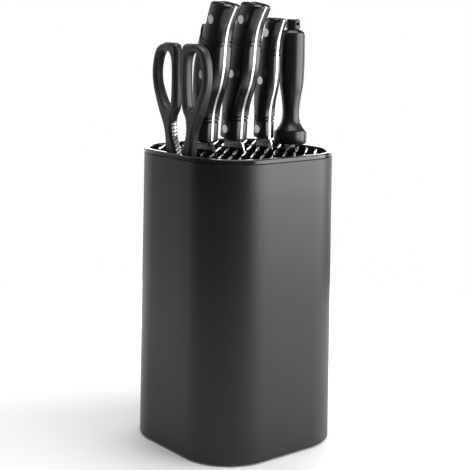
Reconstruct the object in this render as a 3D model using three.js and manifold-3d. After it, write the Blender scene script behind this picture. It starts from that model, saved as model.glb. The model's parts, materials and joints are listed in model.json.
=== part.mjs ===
// Universal knife block: a tapered shell with a lift-out slotted insert, holding three full-tang knives,
// a honing steel and a pair of kitchen scissors. Millimetres, +Z up, origin at the centre of the base.
import * as THREE from 'three';
import { mergeVertices } from 'three/addons/utils/BufferGeometryUtils.js';
import Module from 'manifold-3d';

const wasm = await Module();
wasm.setup();

// ---------- driving dimensions ----------
const GAP = 0.3; // clearance between pieces that touch
const BLOCK_HEIGHT = 225;
const TOP_HALF = 61.5; // half the plan width at the rim
const DRAFT = 3; // how much wider each side is at the bottom
const CORNER = 39; // plan corner radius at the rim
const CORNER_STEPS = 8;
const WALL = 2.5;

const FOOT = { radius: 7, height: 1.2, reach: 43 };
const BASE = { bottom: FOOT.height + GAP, thick: 3 };

const COLLAR = { height: 3.3, width: 4, round: 0.8, skirt: 9, skirtWall: 1.1 };

const TRAY = { bottom: BASE.bottom + BASE.thick + GAP, floor: 2, wall: 1.4, top: 220.5 };
const BANK = { pitch: 27, halfWidth: 11, strip: 2, top: 224.4 };
const VANE = { pitch: 10.3, middle: 2.4, end: 1, angle: Math.PI / 4 };
const VANE_ROWS = 11; // rows counted each way from the middle

const TANG = 2; // thickness of blade and tang
const RIVET_RADIUS = 3.2;
const RIVET_GAP = 0.2;
const HANDLE_LENGTH = 103;
const HANDLE_BEVEL = 4.8;
// Handle shape against its length: share of the length, centre line towards the belly, half width.
const HANDLE_STATIONS = [
  [0, -0.3, 9.7],
  [0.14, -1.2, 9.3],
  [0.23, -1.5, 9.6],
  [0.32, -1.2, 11.2],
  [0.42, -0.2, 13.2],
  [0.54, 0.4, 14.2],
  [0.66, 1, 13.2],
  [0.75, 1.9, 12.2],
  [0.86, 4.1, 11.8],
  [1, 10.3, 11.8],
];
const RIVET_SHARES = [0.07, 0.47, 0.867];
const KNIVES = [
  { name: 'chef_knife', x: -27, y: 6.3, z: 232, tilt: 8, scale: 1, width: 1, thick: 18,
    blade: 203, heel: 25, tipDrop: 9.6 },
  { name: 'slicing_knife', x: 0, y: 5.5, z: 232, tilt: 8, scale: 1, width: 1, thick: 18,
    blade: 203, heel: 19, tipDrop: 6 },
  { name: 'utility_knife', x: 26.5, y: 1.6, z: 231.5, tilt: 3, scale: 0.886, width: 0.76, thick: 14,
    blade: 127, heel: 11, tipDrop: 5 },
];

const STEEL = { x: 46.5, y: -6.4, rod: 4, tip: 10, rodInHandle: 25, guardBottom: 226.6, guardTop: 237,
  guardRadius: 12.6, shoulder: 310.6, bodyTop: 313.4, capTop: 321, capRadius: 5.6, capRound: 1.4, eye: 1.3 };

const SCISSORS = { x: -51, y: 2.4, pivot: 198, thick: 7.2, bevel: 2, blade: 1.6, hub: 5, pin: 3, pinGap: 0.15,
  bladeLength: 95, toothPitch: 2.6, toothDepth: 1.4 };
const SCISSOR_POCKET = { front: -17, back: 29.5, side: -46.6, floor: 190 };
const SCISSOR_SLOT_SIDE = -48.2;

// ---------- solids ----------
function toSolid(geometry) {
  const bare = geometry.clone();
  bare.deleteAttribute('normal');
  bare.deleteAttribute('uv');
  const merged = mergeVertices(bare, 1e-4);
  const vertProperties = new Float32Array(merged.attributes.position.array);
  const triVerts = new Uint32Array(merged.index.array);
  return new wasm.Manifold(new wasm.Mesh({ numProp: 3, vertProperties, triVerts }));
}

function toGeometry(solid) {
  const mesh = solid.getMesh();
  const geometry = new THREE.BufferGeometry();
  geometry.setAttribute('position', new THREE.BufferAttribute(new Float32Array(mesh.vertProperties), 3));
  geometry.setIndex(new THREE.BufferAttribute(new Uint32Array(mesh.triVerts), 1));
  return geometry;
}

const join = (...parts) => toGeometry(parts.map(toSolid).reduce((a, b) => a.add(b)));
const cut = (part, ...tools) => toGeometry(tools.map(toSolid).reduce((a, b) => a.subtract(b), toSolid(part)));
const common = (a, b) => toGeometry(toSolid(a).intersect(toSolid(b)));

// A box given by its lowest and highest corners.
function box(low, high) {
  const size = high.map((value, i) => value - low[i]);
  const middle = high.map((value, i) => (value + low[i]) / 2);
  return new THREE.BoxGeometry(...size).translate(...middle);
}

// A square outline with arc corners; inset moves every side and corner inwards.
function roundedSquare(inset, steps = CORNER_STEPS) {
  const reach = TOP_HALF - CORNER;
  const radius = CORNER - inset;
  const points = [];
  for (let corner = 0; corner < 4; corner += 1) {
    const start = corner * Math.PI / 2;
    const centre = new THREE.Vector2(reach, reach).rotateAround(new THREE.Vector2(), start);
    const arc = new THREE.EllipseCurve(centre.x, centre.y, radius, radius, start, start + Math.PI / 2);
    points.push(...arc.getPoints(steps));
  }
  return points;
}

// A prism on the rounded square, from one height to another, spread by the draft of the shell if asked.
function column(inset, low, high, drafted = false) {
  const shape = new THREE.Shape(roundedSquare(inset));
  const geometry = new THREE.ExtrudeGeometry(shape, { depth: high - low, bevelEnabled: false });
  geometry.translate(0, 0, low);
  if (drafted) {
    const position = geometry.attributes.position;
    for (let i = 0; i < position.count; i += 1) {
      const spread = 1 + DRAFT / TOP_HALF * (1 - position.getZ(i) / BLOCK_HEIGHT);
      position.setX(i, position.getX(i) * spread);
      position.setY(i, position.getY(i) * spread);
    }
  }
  return geometry;
}

// A plate standing in the YZ plane: the shape's x runs towards -Y and its y runs up.
function standingPlate(shape, thickness, bevel = 0, segments = 3, middle = 0) {
  const geometry = new THREE.ExtrudeGeometry(shape, {
    depth: thickness - 2 * bevel,
    bevelEnabled: bevel > 0,
    bevelThickness: bevel,
    bevelSize: bevel,
    bevelOffset: -bevel,
    bevelSegments: segments,
    curveSegments: 6,
  });
  geometry.translate(0, 0, bevel - thickness / 2);
  const basis = new THREE.Matrix4().makeBasis(
    new THREE.Vector3(0, -1, 0), new THREE.Vector3(0, 0, 1), new THREE.Vector3(-1, 0, 0));
  return geometry.applyMatrix4(basis).translate(middle, 0, 0);
}

// A round pin lying along X, at a place given as towards the belly and up.
function crossPin(radius, length, belly, up, sides = 20) {
  const pin = new THREE.CylinderGeometry(radius, radius, length, sides).rotateZ(Math.PI / 2);
  return pin.translate(0, -belly, up);
}

const lathe = (points, sides) => new THREE.LatheGeometry(
  points.map(([r, z]) => new THREE.Vector2(r, z)), sides).rotateX(Math.PI / 2);

const finish = {
  shell: { color: 0x1d1f1f, roughness: 0.42, metalness: 0 },
  collar: { color: 0x202222, roughness: 0.3, metalness: 0 },
  insert: { color: 0x141616, roughness: 0.38, metalness: 0 },
  vanes: { color: 0x1c1e1e, roughness: 0.3, metalness: 0 },
  rubber: { color: 0x101010, roughness: 0.9, metalness: 0 },
  scales: { color: 0x14161a, roughness: 0.22, metalness: 0 },
  steel: { color: 0xd8d8d6, roughness: 0.25, metalness: 1 },
  grip: { color: 0x2a2c2d, roughness: 0.55, metalness: 0 },
};

function piece(name, geometry, look) {
  const mesh = new THREE.Mesh(geometry, new THREE.MeshStandardMaterial(finish[look]));
  mesh.name = name;
  return mesh;
}

// ---------- housing ----------
function shell() {
  const top = BLOCK_HEIGHT - COLLAR.height - GAP;
  const outside = column(0, BASE.bottom, top, true);
  const inside = column(WALL, BASE.bottom - 1, top + 1, true);
  return piece('block_shell', cut(outside, inside), 'shell');
}

function collar() {
  const bottom = BLOCK_HEIGHT - COLLAR.height;
  const shape = new THREE.Shape(roundedSquare(0));
  shape.holes.push(new THREE.Path(roundedSquare(COLLAR.width)));
  const band = new THREE.ExtrudeGeometry(shape, {
    depth: COLLAR.height - 2 * COLLAR.round,
    bevelThickness: COLLAR.round,
    bevelSize: COLLAR.round,
    bevelOffset: -COLLAR.round,
    bevelSegments: 1,
  }).translate(0, 0, bottom + COLLAR.round);
  const skirtOutside = WALL + GAP;
  const skirt = cut(
    column(skirtOutside, bottom - COLLAR.skirt, BLOCK_HEIGHT - COLLAR.height / 2),
    column(skirtOutside + COLLAR.skirtWall, bottom - COLLAR.skirt - 1, BLOCK_HEIGHT));
  return piece('top_collar', join(band, skirt), 'collar');
}

function basePlate() {
  const top = BASE.bottom + BASE.thick;
  const plate = column(WALL + GAP, BASE.bottom, top, true);
  return piece('base_plate', plate, 'insert');
}

function feet() {
  const signs = [[1, 1], [-1, 1], [-1, -1], [1, -1]];
  return signs.map(([sx, sy], i) => {
    const foot = new THREE.CylinderGeometry(FOOT.radius, FOOT.radius, FOOT.height, 24).rotateX(Math.PI / 2);
    foot.translate(sx * FOOT.reach, sy * FOOT.reach, FOOT.height / 2);
    return piece(`rubber_foot_${i + 1}`, foot, 'rubber');
  });
}

// ---------- insert ----------
const TRAY_INSET = WALL + GAP + COLLAR.skirtWall + 0.7;
const TRAY_FLOOR_TOP = TRAY.bottom + TRAY.floor;
const BANK_INSET = TRAY_INSET + TRAY.wall + GAP;

function tray() {
  const outside = column(TRAY_INSET, TRAY.bottom, TRAY.top);
  const inside = column(TRAY_INSET + TRAY.wall, TRAY_FLOOR_TOP, TRAY.top + 1);
  return piece('insert_tray', cut(outside, inside), 'insert');
}

// One upright vane, leaf-shaped in plan, with its middle on the origin.
function vane(low) {
  const half = BANK.halfWidth / Math.cos(VANE.angle);
  const shape = new THREE.Shape();
  shape.moveTo(-half, -VANE.end / 2);
  shape.quadraticCurveTo(0, VANE.end / 2 - VANE.middle, half, -VANE.end / 2);
  shape.lineTo(half, VANE.end / 2);
  shape.quadraticCurveTo(0, VANE.middle - VANE.end / 2, -half, VANE.end / 2);
  shape.closePath();
  const options = { depth: BANK.top - low, bevelEnabled: false, curveSegments: 3 };
  return new THREE.ExtrudeGeometry(shape, options).rotateZ(VANE.angle).translate(0, 0, low);
}

function vaneBank(index) {
  const low = TRAY_FLOOR_TOP + GAP;
  const middle = (index - 1.5) * BANK.pitch;
  const left = middle - BANK.halfWidth;
  const right = middle + BANK.halfWidth;
  const strip = box([left, -TOP_HALF, low], [right, TOP_HALF, low + BANK.strip]);
  const parts = [strip];
  for (let row = -VANE_ROWS; row <= VANE_ROWS; row += 1) {
    const y = middle * Math.tan(VANE.angle) + row * VANE.pitch;
    if (Math.abs(y) < TOP_HALF) {
      parts.push(vane(low).translate(middle, y, 0));
    }
  }
  let bank = common(join(...parts), column(BANK_INSET, low, BANK.top));
  if (index === 0) {
    const pocket = SCISSOR_POCKET;
    const outer = -TOP_HALF;
    bank = cut(bank,
      box([outer, outer, 0], [SCISSOR_SLOT_SIDE, pocket.back, BLOCK_HEIGHT]),
      box([outer, pocket.front, pocket.floor], [pocket.side, pocket.back, BLOCK_HEIGHT]));
  }
  if (index === 3) {
    const socket = new THREE.CylinderGeometry(STEEL.rod + 1, STEEL.rod + 1, BLOCK_HEIGHT, 20);
    bank = cut(bank, socket.rotateX(Math.PI / 2).translate(STEEL.x, STEEL.y, BLOCK_HEIGHT / 2));
  }
  return piece(`vane_bank_${index + 1}`, bank, 'vanes');
}

// ---------- knives ----------
// One side of a handle's outline, from the blade end up, as a smooth line; side is 1 at the belly.
function handleSide(knife, side) {
  const points = HANDLE_STATIONS.map(([share, centre, half]) => new THREE.Vector2(
    knife.width * (centre + side * half), share * HANDLE_LENGTH * knife.scale));
  return new THREE.SplineCurve(points).getPoints(12);
}

function handleOutline(knife) {
  return [...handleSide(knife, 1), ...handleSide(knife, -1).reverse()];
}

// The blade below the handle: a heel that swells towards the edge, then a straight run to the tip.
function bladeOutline(knife) {
  const spine = -HANDLE_STATIONS[0][2] * knife.width;
  const belly = -spine;
  const edge = spine + belly + knife.heel;
  const shape = new THREE.Shape();
  shape.moveTo(spine, 1);
  shape.lineTo(spine, -knife.blade * 0.55);
  const tip = new THREE.Vector2(spine + knife.tipDrop, -knife.blade);
  shape.quadraticCurveTo(spine, -knife.blade * 0.85, tip.x, tip.y);
  shape.quadraticCurveTo(edge, -knife.blade * 0.72, edge, -knife.blade * 0.4);
  shape.lineTo(edge, -knife.heel * 0.75);
  shape.quadraticCurveTo(belly + 2, -2, belly, 1);
  shape.closePath();
  return shape;
}

function rivetPlaces(knife) {
  const length = HANDLE_LENGTH * knife.scale;
  const centre = new THREE.SplineCurve(HANDLE_STATIONS.map(([share, offset]) =>
    new THREE.Vector2(knife.width * offset, share * length))).getPoints(100);
  return RIVET_SHARES.map((share) => centre.find((point) => point.y >= share * length));
}

function knifePieces(knife) {
  const group = new THREE.Group();
  group.position.set(knife.x, knife.y, knife.z);
  group.rotation.x = THREE.MathUtils.degToRad(knife.tilt);
  const outline = new THREE.Shape(handleOutline(knife));
  const places = rivetPlaces(knife);
  const holes = places.map((p) => crossPin(RIVET_RADIUS + RIVET_GAP, knife.thick + 2, p.x, p.y));

  const tang = join(standingPlate(outline, TANG), standingPlate(bladeOutline(knife), TANG));
  group.add(piece(`${knife.name}_blade`, cut(tang, ...holes), 'steel'));

  const bevel = HANDLE_BEVEL * knife.thick / KNIVES[0].thick;
  const body = cut(standingPlate(outline, knife.thick, bevel), ...holes);
  const reach = HANDLE_LENGTH * 2;
  const face = TANG / 2 + GAP / 2;
  for (const [side, sign] of [['left', -1], ['right', 1]]) {
    const ends = [sign * face, sign * knife.thick];
    const half = box([Math.min(...ends), -reach, -reach], [Math.max(...ends), reach, reach]);
    group.add(piece(`${knife.name}_scale_${side}`, common(body, half), 'scales'));
  }
  places.forEach((p, i) => {
    const pin = crossPin(RIVET_RADIUS, knife.thick, p.x, p.y);
    group.add(piece(`${knife.name}_rivet_${i + 1}`, pin, 'steel'));
  });
  return group;
}

// ---------- honing steel ----------
function steelPieces() {
  const s = STEEL;
  const group = new THREE.Group();
  group.position.set(s.x, s.y, 0);

  const rodTop = s.guardTop + s.rodInHandle;
  const rod = lathe([[0, s.tip], [s.rod - 1.5, s.tip], [s.rod, s.tip + 4], [s.rod, rodTop], [0, rodTop]], 24);
  group.add(piece('steel_rod', rod, 'steel'));

  const bore = s.rod + GAP;
  const guard = lathe([
    [bore, s.guardBottom], [s.guardRadius - 1, s.guardBottom], [s.guardRadius, s.guardBottom + 1],
    [s.guardRadius, s.guardTop - 1], [s.guardRadius - 1, s.guardTop], [bore, s.guardTop],
    [bore, s.guardBottom]], 24);
  group.add(piece('steel_guard', guard, 'scales'));

  const low = s.guardTop + GAP;
  const side = new THREE.SplineCurve([
    new THREE.Vector2(11.6, low), new THREE.Vector2(7.6, low + 6), new THREE.Vector2(6.4, low + 13),
    new THREE.Vector2(7.4, low + 24), new THREE.Vector2(9.2, low + 36), new THREE.Vector2(9.6, low + 52),
    new THREE.Vector2(9.3, s.shoulder), new THREE.Vector2(7.4, s.shoulder + 1.7),
    new THREE.Vector2(5, s.bodyTop)]).getPoints(14);
  const body = lathe([
    [bore, low], ...side.map((p) => [p.x, p.y]), [0, s.bodyTop], [0, rodTop + GAP], [bore, rodTop + GAP],
    [bore, low]], 20);
  group.add(piece('steel_handle', body, 'scales'));

  const capLow = s.bodyTop + GAP;
  const cap = lathe([
    [0, capLow], [s.capRadius, capLow], [s.capRadius, s.capTop - s.capRound],
    [s.capRadius - s.capRound, s.capTop], [0, s.capTop]], 24);
  const eye = new THREE.CylinderGeometry(s.eye, s.eye, 3 * s.capRadius, 16);
  eye.translate(0, 0, (capLow + s.capTop) / 2);
  group.add(piece('steel_end_cap', cut(cap, eye), 'scales'));
  return group;
}

// ---------- scissors ----------
// Outline of one finger loop and its shank; x runs away from the closing line, y up from the pivot.
function scissorHandleShape() {
  const outer = new THREE.SplineCurve([
    new THREE.Vector2(13, 12), new THREE.Vector2(15.5, 27), new THREE.Vector2(18.2, 43),
    new THREE.Vector2(25.6, 57.5), new THREE.Vector2(32.2, 74), new THREE.Vector2(33, 88),
    new THREE.Vector2(28.3, 101), new THREE.Vector2(18, 105.5)]).getPoints(14);
  const inner = new THREE.SplineCurve([
    new THREE.Vector2(8, 105.3), new THREE.Vector2(3.6, 102), new THREE.Vector2(3.3, 84),
    new THREE.Vector2(3.5, 61), new THREE.Vector2(8.4, 51), new THREE.Vector2(8.8, 40),
    new THREE.Vector2(3.4, 27), new THREE.Vector2(1.4, 12)]).getPoints(14);
  const shape = new THREE.Shape([...outer, ...inner]);
  const hole = new THREE.CatmullRomCurve3([
    new THREE.Vector3(9, 92, 0), new THREE.Vector3(14.5, 99.5, 0), new THREE.Vector3(22.5, 98, 0),
    new THREE.Vector3(27, 88, 0), new THREE.Vector3(26.6, 76, 0), new THREE.Vector3(19, 62.5, 0),
    new THREE.Vector3(12.8, 59, 0), new THREE.Vector3(9.2, 64.5, 0)], true).getPoints(20);
  shape.holes.push(new THREE.Path(hole.slice(0, -1).map((p) => new THREE.Vector2(p.x, p.y))));
  return shape;
}

// The blade of one half: a tang with a toothed jaw above the pivot, the cutting blade below it.
function scissorBladeShape() {
  const s = SCISSORS;
  const points = [[11, 53], [15, 50], [15, 30], [11.5, 14], [11.5, 0], [8, -9], [1.5, -14]];
  points.push([1.5, -s.bladeLength + 12], [-0.5, -s.bladeLength], [-6, -s.bladeLength * 0.7]);
  points.push([-12, -24], [-12, -4], [-9, 9], [1.2, 12], [3.6, 27], [6.2, 34]);
  const teeth = 6;
  for (let i = 0; i < teeth; i += 1) {
    const height = 35 + i * s.toothPitch;
    points.push([6.4, height], [6.4 - s.toothDepth, height + s.toothPitch / 2]);
  }
  points.push([6.4, 35 + teeth * s.toothPitch]);
  return new THREE.Shape(points.map(([x, y]) => new THREE.Vector2(x, y)));
}

// The two halves are alike: the left one is the right one turned half a turn about the upright.
function scissorHalf(side, turn) {
  const s = SCISSORS;
  const plane = -(s.blade + GAP) / 2;
  const hole = crossPin(s.pin + s.pinGap, s.thick, 0, 0);
  const blade = cut(standingPlate(scissorBladeShape(), s.blade, 0, 1, plane).rotateZ(turn), hole);
  const slot = standingPlate(scissorBladeShape(), s.blade + GAP, 0, 1, plane).rotateZ(turn);
  const grip = standingPlate(scissorHandleShape(), s.thick, s.bevel, 2).rotateZ(turn);
  return [
    piece(`scissors_blade_${side}`, blade, 'steel'),
    piece(`scissors_handle_${side}`, cut(grip, slot), 'grip'),
  ];
}

function scissorPieces() {
  const s = SCISSORS;
  const group = new THREE.Group();
  group.position.set(s.x, s.y, s.pivot);
  group.add(...scissorHalf('right', 0), ...scissorHalf('left', Math.PI));
  const face = s.blade + GAP / 2 + GAP;
  const head = face + 1.2;
  const rivet = lathe([[0, -head], [s.hub, -head], [s.hub, -face], [s.pin, -face], [s.pin, face],
    [s.hub, face], [s.hub, head], [0, head]], 18).rotateY(Math.PI / 2);
  group.add(piece('scissors_pivot_rivet', rivet, 'steel'));
  return group;
}

const knifeBlock = new THREE.Group();
knifeBlock.add(shell(), collar(), basePlate(), ...feet(), tray());
for (let index = 0; index < 4; index += 1) {
  knifeBlock.add(vaneBank(index));
}
knifeBlock.add(...KNIVES.map(knifePieces), steelPieces(), scissorPieces());

export default knifeBlock;
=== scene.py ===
import json
import math

import bmesh
import bpy
from mathutils import Matrix, Vector


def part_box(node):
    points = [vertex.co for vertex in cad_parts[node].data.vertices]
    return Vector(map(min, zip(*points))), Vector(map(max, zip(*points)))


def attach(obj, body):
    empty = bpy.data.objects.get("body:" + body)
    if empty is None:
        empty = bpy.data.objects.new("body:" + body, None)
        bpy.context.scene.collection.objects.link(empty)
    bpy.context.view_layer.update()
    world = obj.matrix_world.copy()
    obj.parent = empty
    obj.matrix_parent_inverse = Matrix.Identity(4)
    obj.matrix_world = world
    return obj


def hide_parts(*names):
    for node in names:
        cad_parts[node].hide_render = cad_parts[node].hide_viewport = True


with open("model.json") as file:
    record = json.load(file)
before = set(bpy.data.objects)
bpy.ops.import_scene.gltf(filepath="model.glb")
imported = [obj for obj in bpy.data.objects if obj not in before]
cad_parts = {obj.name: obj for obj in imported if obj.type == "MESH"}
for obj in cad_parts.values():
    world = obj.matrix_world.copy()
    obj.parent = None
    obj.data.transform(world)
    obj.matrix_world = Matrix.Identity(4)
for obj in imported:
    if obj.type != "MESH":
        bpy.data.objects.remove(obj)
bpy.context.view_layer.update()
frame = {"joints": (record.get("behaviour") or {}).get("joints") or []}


# ---------- The block's shell ----------
# A tall square tube with large round corners, injection moulded in black plastic with a fine satin
# texture. It is open at both ends and a little wider at the bottom, so that it leaves its mould.

MM = 0.001


def box_mm(node):
    """The lowest and highest corners of a CAD node, in millimetres."""
    low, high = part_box(node)
    return low / MM, high / MM


def rounded_square(half, radius, steps=20, side_steps=4):
    """Points round a square with arc corners, with a few more along each straight side."""
    reach = half - radius
    arcs = []
    for corner in range(4):
        start = corner * math.pi / 2
        middle = start + math.pi / 4
        centre = Vector((math.cos(middle), math.sin(middle))) * reach * math.sqrt(2)
        arcs.append([centre + radius * Vector((math.cos(start + turn), math.sin(start + turn)))
                     for turn in (i / steps * math.pi / 2 for i in range(steps + 1))])
    points = []
    for arc, following in zip(arcs, arcs[1:] + arcs[:1]):
        points += arc
        points += [arc[-1].lerp(following[0], i / side_steps) for i in range(1, side_steps)]
    return points


def join_rings(rings, closed=False):
    """A skin over rings of equally many points: either closed on itself or capped at both ends."""
    count = len(rings[0])
    verts = [point for ring in rings for point in ring]
    faces = []
    for r in range(len(rings) if closed else len(rings) - 1):
        s = (r + 1) % len(rings)
        for i in range(count):
            j = (i + 1) % count
            faces.append((r * count + i, r * count + j, s * count + j, s * count + i))
    if not closed:
        faces.append(tuple(range(count)))
        faces.append(tuple(range((len(rings) - 1) * count, len(rings) * count)))
    return verts, faces


def make_piece(name, skins, finish, crease=32):
    """One object from one or more skins given in millimetres, smooth except across sharp edges."""
    verts, faces = [], []
    for skin_verts, skin_faces in skins:
        faces += [tuple(len(verts) + i for i in face) for face in skin_faces]
        verts += [Vector(v) * MM for v in skin_verts]
    mesh = bpy.data.meshes.new(name)
    mesh.from_pydata(verts, [], faces)
    skin = bmesh.new()
    skin.from_mesh(mesh)
    bmesh.ops.recalc_face_normals(skin, faces=skin.faces)
    skin.to_mesh(mesh)
    skin.free()
    mesh.shade_smooth()
    mesh.set_sharp_from_angle(angle=math.radians(crease))
    mesh.materials.append(finish)
    piece = bpy.data.objects.new(name, mesh)
    bpy.context.scene.collection.objects.link(piece)
    return piece


class Shade:
    """An output socket in a material. Arithmetic on it adds Math nodes."""

    def __init__(self, tree, socket=None):
        self.tree = tree
        self.socket = socket

    def add(self, kind, settings=None, inputs=None, output=0):
        """Adds a node: its settings first, then the values or links of its sockets."""
        node = self.tree.nodes.new(kind)
        for name, value in (settings or {}).items():
            if name == "stops":
                while len(node.color_ramp.elements) < len(value):
                    node.color_ramp.elements.new(0.5)
                for element, (position, level) in zip(node.color_ramp.elements, value):
                    element.position = position
                    element.color = (level, level, level, 1)
            else:
                setattr(node, name, value)
        for name, value in (inputs or {}).items():
            if isinstance(value, Shade):
                self.tree.links.new(value.socket, node.inputs[name])
            else:
                node.inputs[name].default_value = value
        return Shade(self.tree, node.outputs[output] if len(node.outputs) else None)

    def maths(self, operation, first, second):
        return self.add("ShaderNodeMath", {"operation": operation}, {0: first, 1: second})

    def __add__(self, other):
        return self.maths("ADD", self, other)

    def __radd__(self, other):
        return self.maths("ADD", other, self)

    def __sub__(self, other):
        return self.maths("SUBTRACT", self, other)

    def __rsub__(self, other):
        return self.maths("SUBTRACT", other, self)

    def __mul__(self, other):
        return self.maths("MULTIPLY", self, other)

    def __rmul__(self, other):
        return self.maths("MULTIPLY", other, self)

    def stretched(self, scales):
        """This place, scaled along each axis, for a pattern drawn out one way."""
        return self.add("ShaderNodeVectorMath", {"operation": "MULTIPLY"}, {0: self, 1: scales}, "Vector")

    def noise(self, scale, detail=2.0, roughness=0.5):
        """Soft cloudy noise at this place, from 0 to 1."""
        return self.add("ShaderNodeTexNoise", {"noise_dimensions": "3D"},
                        {"Vector": self, "Scale": scale, "Detail": detail, "Roughness": roughness}, "Fac")

    def ramp(self, *stops):
        """This value through a ramp of greys."""
        return self.add("ShaderNodeValToRGB", {"stops": stops}, {"Fac": self}, "Color")

    def between(self, first, second):
        """A colour from first to second, as this value goes from 0 to 1."""
        return self.add("ShaderNodeMix", {"data_type": "RGBA"},
                        {"Factor": self, 6: (*first, 1), 7: (*second, 1)}, 2)

    def bump(self, distance, strength=1.0):
        """This value as a height, in metres of distance."""
        return self.add("ShaderNodeBump", {}, {"Height": self, "Distance": distance, "Strength": strength},
                        "Normal")


def make_finish(name, surface):
    """A material; surface turns the piece's own coordinates into the shader's inputs."""
    material = bpy.data.materials.new(name)
    material.use_nodes = True
    material.node_tree.nodes.clear()
    start = Shade(material.node_tree)
    place = start.add("ShaderNodeTexCoord", output="Object")
    shader = start.add("ShaderNodeBsdfPrincipled", {}, surface(place))
    start.add("ShaderNodeOutputMaterial", {}, {"Surface": shader})
    return material


def moulded_plastic(name, dark, light, gloss, smudge, grain, depth, ior=1.46, specular=0.5):
    """Black plastic with a moulded grain, faint clouds in its colour, and smudges in its gloss."""
    def surface(place):
        cloud = place.noise(22, 4)
        touched = place.noise(60, 5, 0.6)
        texture = place.noise(1 / (grain * MM), 3, 0.6)
        return {
            "Base Color": cloud.ramp((0.3, 0), (0.7, 1)).between(dark, light),
            "Roughness": gloss + smudge * (touched - 0.5) + 0.04 * (texture - 0.5),
            "Normal": texture.bump(depth * MM, 0.6),
            "IOR": ior,
            "Specular IOR Level": specular,
        }
    return make_finish(name, surface)


CORNER = 39
WALL = 2.5
SHELL_LOW, SHELL_HIGH = box_mm("block_shell")
BLOCK_TOP = box_mm("top_collar")[1].z
RIM_HALF = box_mm("top_collar")[1].x
DRAFT = (SHELL_HIGH.x - RIM_HALF) / (1 - SHELL_LOW.z / BLOCK_TOP)
EDGE = 0.25


def shell_ring(inset, z):
    """A level ring of the tapered shell, inset from its outside."""
    spread = 1 + DRAFT / RIM_HALF * (1 - z / BLOCK_TOP)
    return [(p.x * spread, p.y * spread, z) for p in rounded_square(RIM_HALF - inset, CORNER - inset)]


def edge_profile(low, high, outside, inside, edge):
    """(inset, z) round a wall's section, with softened edges: up the outside, down the inside."""
    quarter = [i / 4 * math.pi / 2 for i in range(5)]
    steps = 8
    rim_glow = [(outside + edge * (1 - math.sin(a)), low + edge * (1 - math.cos(a))) for a in quarter]
    climb = [(outside, low + edge + (high - low - 2 * edge) * i / steps) for i in range(1, steps)]
    rim = [(outside + edge * (1 - math.cos(a)), high - edge * (1 - math.sin(a))) for a in quarter]
    inner = [(inside - edge * (1 - math.sin(a)), high - edge * (1 - math.cos(a))) for a in quarter]
    foot = [(inside - edge * (1 - math.cos(a)), low + edge * (1 - math.sin(a))) for a in quarter]
    return rim_glow + climb + rim + inner + foot


satin_black = moulded_plastic("satin_black", (0.0045, 0.005, 0.0052), (0.0065, 0.0072, 0.0072),
                              gloss=0.42, smudge=0.05, grain=0.55, depth=0.012)
shell = make_piece("shell_tube", [join_rings(
    [shell_ring(inset, z) for inset, z in edge_profile(SHELL_LOW.z, SHELL_HIGH.z, 0, WALL, EDGE)],
    closed=True)], satin_black)
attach(shell, "housing")
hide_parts("block_shell")


# ---------- The rim collar ----------
# A polished plastic ring with a rounded bead, moulded with a thin skirt below it that is pressed
# into the top of the shell. A fine seam shows between the two.

COLLAR_WIDTH = 4
COLLAR_HEIGHT = 3.3
COLLAR_EDGE = 1.1
SKIRT_LOW = box_mm("top_collar")[0].z
SKIRT_OUTSIDE = WALL + 0.3
SKIRT_INSIDE = SKIRT_OUTSIDE + 1.1


def straight_ring(inset, z):
    """A level ring of the insert or collar, which have no taper."""
    return [(p.x, p.y, z) for p in rounded_square(RIM_HALF - inset, CORNER - inset)]


UNDER_BEAD = BLOCK_TOP - COLLAR_HEIGHT
bead = [(inset, z) for inset, z in edge_profile(UNDER_BEAD, BLOCK_TOP, 0, COLLAR_WIDTH, COLLAR_EDGE)
        if z > UNDER_BEAD + COLLAR_EDGE]
bead = [(0.25, UNDER_BEAD), (0, UNDER_BEAD + 0.25)] + bead + [
    (SKIRT_INSIDE, UNDER_BEAD), (SKIRT_INSIDE, SKIRT_LOW + 0.3), (SKIRT_INSIDE - 0.3, SKIRT_LOW),
    (SKIRT_OUTSIDE + 0.3, SKIRT_LOW), (SKIRT_OUTSIDE, SKIRT_LOW + 0.3), (SKIRT_OUTSIDE, UNDER_BEAD)]
polished_rim = moulded_plastic("polished_rim", (0.006, 0.0065, 0.0065), (0.01, 0.0105, 0.0105),
                               gloss=0.2, smudge=0.08, grain=1.5, depth=0.006)
collar = make_piece("rim_collar", [join_rings([straight_ring(*step) for step in bead], closed=True)],
                    polished_rim)
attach(collar, "housing")
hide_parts("top_collar")


# ---------- The base plate ----------
# A flat plastic plate welded into the bottom of the shell. Its underside is recessed in the middle,
# as a moulding is, so that only its border and the feet come near the worktop.

BASE_LOW, BASE_HIGH = box_mm("base_plate")
RECESS_INSET = 31
RECESS_DEPTH = 0.9
base_steps = [(SKIRT_OUTSIDE + 0.4, BASE_HIGH.z), (SKIRT_OUTSIDE, BASE_HIGH.z - 0.4),
              (SKIRT_OUTSIDE, BASE_LOW.z + 0.5), (SKIRT_OUTSIDE + 0.5, BASE_LOW.z),
              (RECESS_INSET, BASE_LOW.z), (RECESS_INSET + 0.8, BASE_LOW.z + RECESS_DEPTH)]
plain_black = moulded_plastic("plain_black", (0.004, 0.0042, 0.0042), (0.007, 0.0075, 0.0075),
                              gloss=0.42, smudge=0.1, grain=0.9, depth=0.015)
base = make_piece("base_cover", [join_rings([shell_ring(*step) for step in base_steps])], plain_black)
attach(base, "housing")
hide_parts("base_plate")


# ---------- The rubber feet ----------
# Four round rubber pads, moulded with a raised ring that grips the worktop, and glued under the base.

def angles_round(sides):
    """Equal steps of angle round a circle."""
    return [i / sides * math.tau for i in range(sides)]


def turned(centre, profile, sides=40):
    """A skin turned about an upright line, from (radius, z) steps."""
    return join_rings([[(centre.x + r * math.cos(a), centre.y + r * math.sin(a), z)
                        for a in angles_round(sides)] for r, z in profile])


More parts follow.
